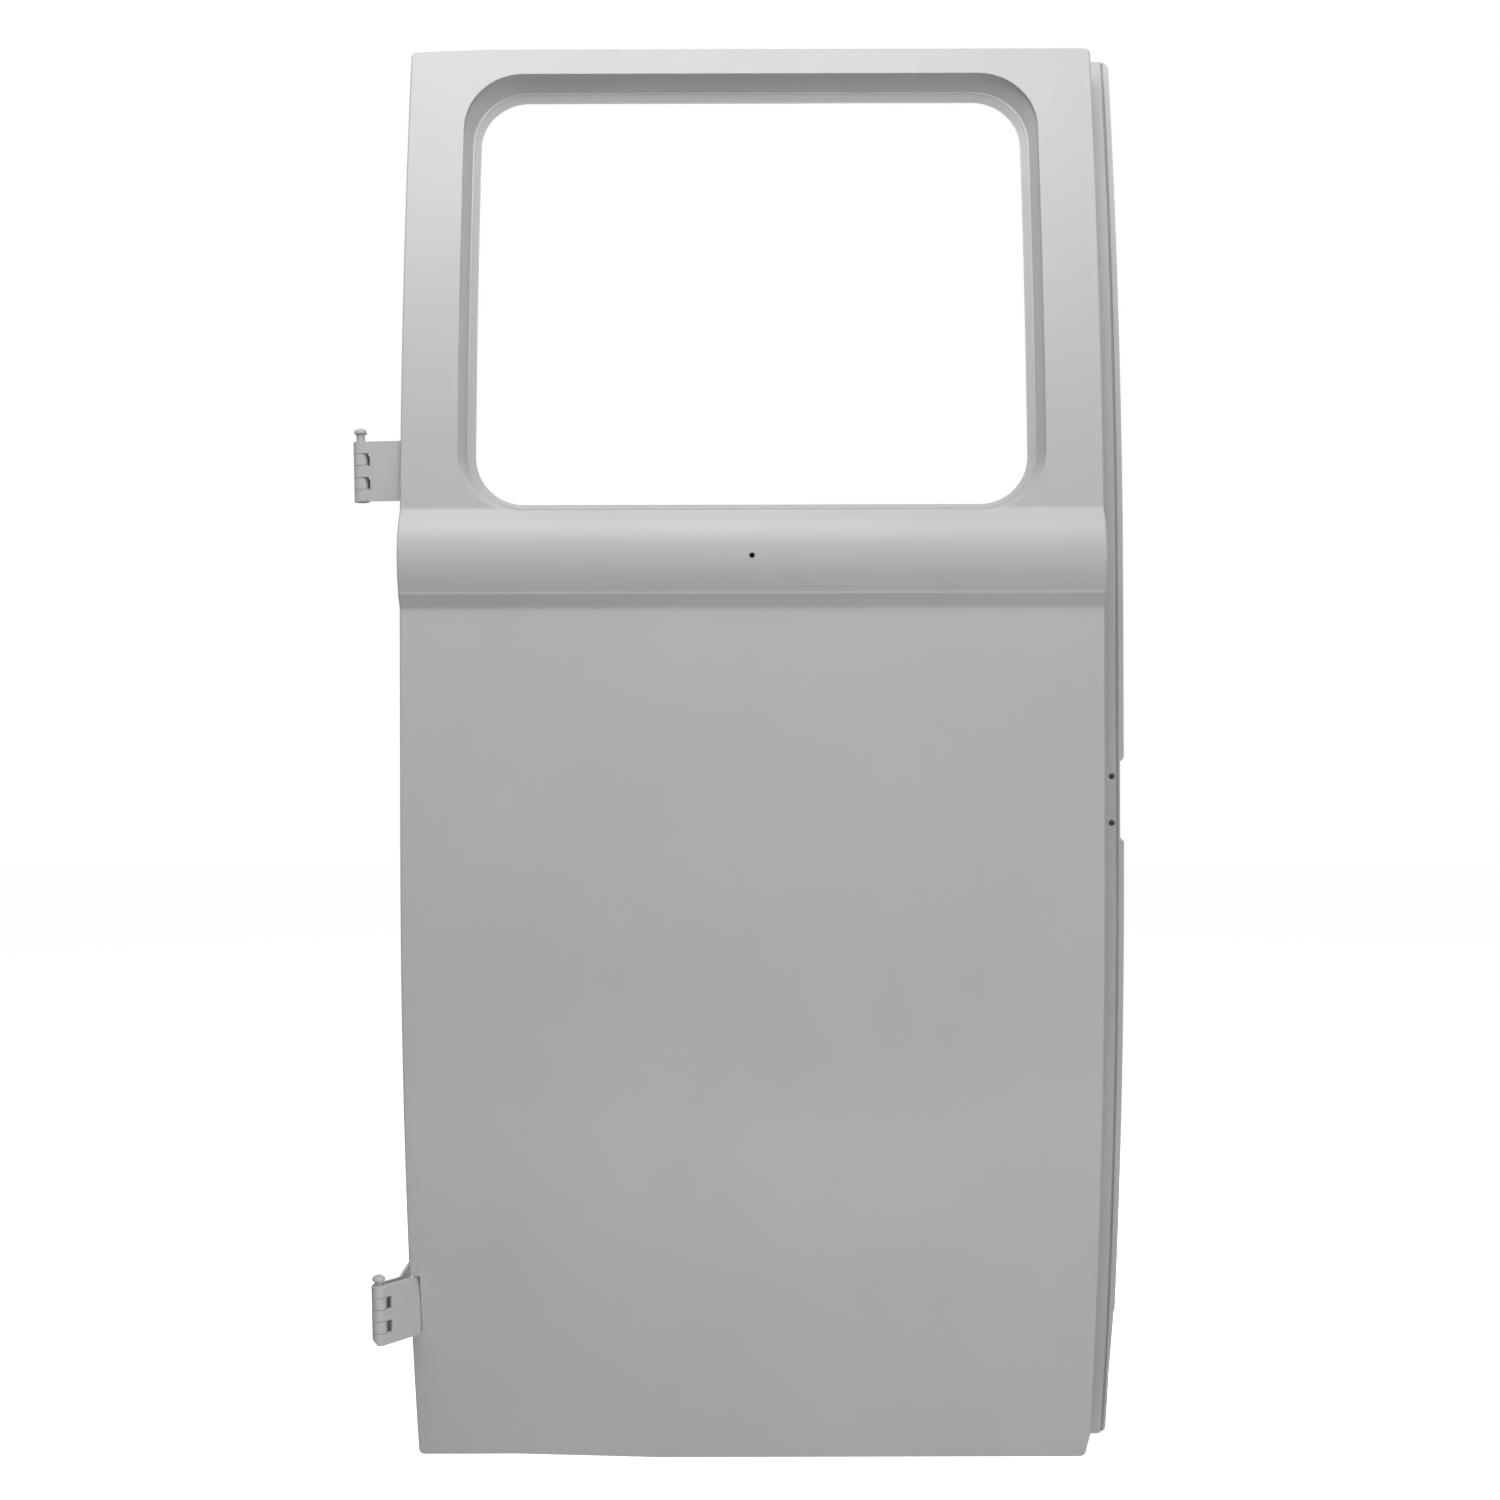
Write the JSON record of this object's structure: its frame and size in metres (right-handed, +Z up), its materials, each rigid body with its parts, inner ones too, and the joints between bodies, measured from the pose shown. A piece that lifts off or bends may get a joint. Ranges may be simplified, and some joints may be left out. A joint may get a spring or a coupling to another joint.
{
  "type": "car door shell",
  "caption": "Bare primed side door shell of a van: pressed steel skin with a window opening above a belt line, welded inner frame, meeting flange on the lock side and leaf hinges.",
  "frame": {"origin": "on the face of the upper hinge's pillar leaf that bears on the door pillar, at the height of the middle of that hinge", "axes": "+X from the hinge side towards the lock side, +Y from the outside of the vehicle inwards, +Z up"},
  "size_m": [0.6502, 0.1217, 1.229],
  "materials": {
    "primer": "satin light grey primer",
    "zinc": "zinc plated"
  },
  "bodies": {
    "door": {"outer_skin": "primer", "hinge_side_rail": "primer", "lock_side_rail": "primer", "bottom_rail": "primer", "top_rail": "primer", "belt_rail": "primer", "panel_stiffener": "primer", "window_frame": "primer", "meeting_flange": "primer", "striker_tapping_plate": "primer", "upper_hinge_plate": "primer", "lower_hinge_plate": "primer", "upper_door_leaf": "primer", "lower_door_leaf": "primer", "upper_leaf_screw_1": "zinc", "upper_leaf_screw_2": "zinc", "lower_leaf_screw_1": "zinc", "lower_leaf_screw_2": "zinc", "upper_hinge_pin": "primer", "lower_hinge_pin": "primer"},
    "upper_pillar_leaf": {"upper_pillar_leaf": "primer"},
    "lower_pillar_leaf": {"lower_pillar_leaf": "primer"}
  },
  "joints": [
    {"name": "upper_hinge", "type": "hinge", "parent": "door", "child": "upper_pillar_leaf", "pos_m": [-0.0249, -0.03383, 0], "axis": [-0.0186, 0, 0.9998], "range_deg": [0, 110]},
    {"name": "lower_hinge", "type": "hinge", "parent": "door", "child": "lower_pillar_leaf", "pos_m": [-0.0117, -0.03383, -0.7088], "axis": [-0.0186, 0, 0.9998], "range_deg": [0, 110]}
  ]
}
